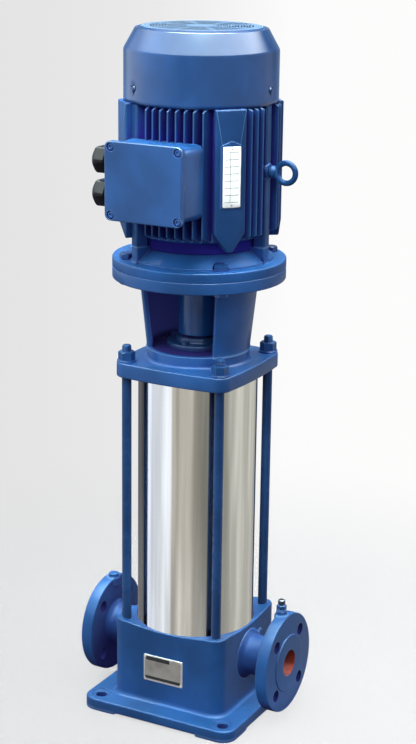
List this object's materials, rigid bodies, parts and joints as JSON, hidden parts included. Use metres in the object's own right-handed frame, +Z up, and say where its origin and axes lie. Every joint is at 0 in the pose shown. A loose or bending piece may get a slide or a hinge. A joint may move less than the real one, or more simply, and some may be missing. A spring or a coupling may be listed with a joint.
{
  "type": "vertical multistage pump",
  "caption": "Vertical in-line multistage water pump: flanged ports in a square foot, steel sleeve with tie rods, and a flange motor on a windowed stool.",
  "frame": {"origin": "centre of the foot's underside, on the shaft axis, at floor level", "axes": "+Z up along the shaft, +X out of the discharge port, -Y towards the terminal box at the front"},
  "size_m": [0.32, 0.2865, 1.014],
  "materials": {
    "blue_enamel": "gloss",
    "stainless_sleeve": "polished",
    "machined_steel": "satin",
    "stainless_sheet": "satin",
    "grey_iron": "rough",
    "core_steel": "satin",
    "copper_winding": "varnished",
    "brass_studs": "satin",
    "black_gland": "gloss",
    "moulded_black": "matte",
    "gasket_rubber": "matte",
    "plate_metal": "satin"
  },
  "bodies": {
    "pump": {"bearing_outer_rings": "machined_steel", "cable_gland_lower": "black_gland", "cable_gland_upper": "black_gland", "drive_end_shield": "blue_enamel", "fan_cover": "blue_enamel", "fan_cover_screws": "blue_enamel", "gland_cap_lower": "black_gland", "gland_cap_upper": "black_gland", "inlet_branch": "blue_enamel", "lid_screws": "machined_steel", "lifting_eye": "blue_enamel", "lower_bush": "moulded_black", "motor_bolt_nuts": "blue_enamel", "motor_bolts": "blue_enamel", "motor_frame": "blue_enamel", "motor_nameplate": "plate_metal", "motor_stool": "blue_enamel", "nameplate_rivets": "plate_metal", "outer_sleeve": "stainless_sleeve", "outlet_branch": "blue_enamel", "pump_body": "blue_enamel", "pump_nameplate": "plate_metal", "rear_end_shield": "blue_enamel", "screw_plugs": "machined_steel", "seal_gland": "blue_enamel", "seal_gland_bolts": "blue_enamel", "seal_seat": "moulded_black", "sleeve_gaskets": "gasket_rubber", "stage_casing_1": "grey_iron", "stage_casing_2": "grey_iron", "stage_casing_3": "grey_iron", "stage_casing_4": "grey_iron", "stage_casing_5": "grey_iron", "stage_casing_6": "grey_iron", "stator_core": "core_steel", "stator_windings": "copper_winding", "terminal_board": "moulded_black", "terminal_box": "blue_enamel", "terminal_box_lid": "blue_enamel", "terminal_studs": "brass_studs", "tie_rod_nuts": "blue_enamel", "tie_rod_washers": "blue_enamel", "tie_rods": "blue_enamel"},
    "rotor": {"motor_shaft": "machined_steel", "rotor_core": "core_steel", "cooling_fan": "moulded_black", "bearing_inner_rings": "machined_steel", "coupling_sleeve": "blue_enamel", "coupling_screws": "machined_steel", "shaft_keys": "machined_steel", "pump_shaft": "machined_steel", "shaft_nut": "machined_steel", "seal_head": "machined_steel", "impeller_1": "stainless_sheet", "impeller_2": "stainless_sheet", "impeller_3": "stainless_sheet", "impeller_4": "stainless_sheet", "impeller_5": "stainless_sheet", "impeller_6": "stainless_sheet"}
  },
  "joints": [
    {"name": "rotor_spin", "type": "hinge", "parent": "pump", "child": "rotor", "pos_m": [0, 0, 0.6], "axis": [0, 0, 1], "continuous": true}
  ]
}
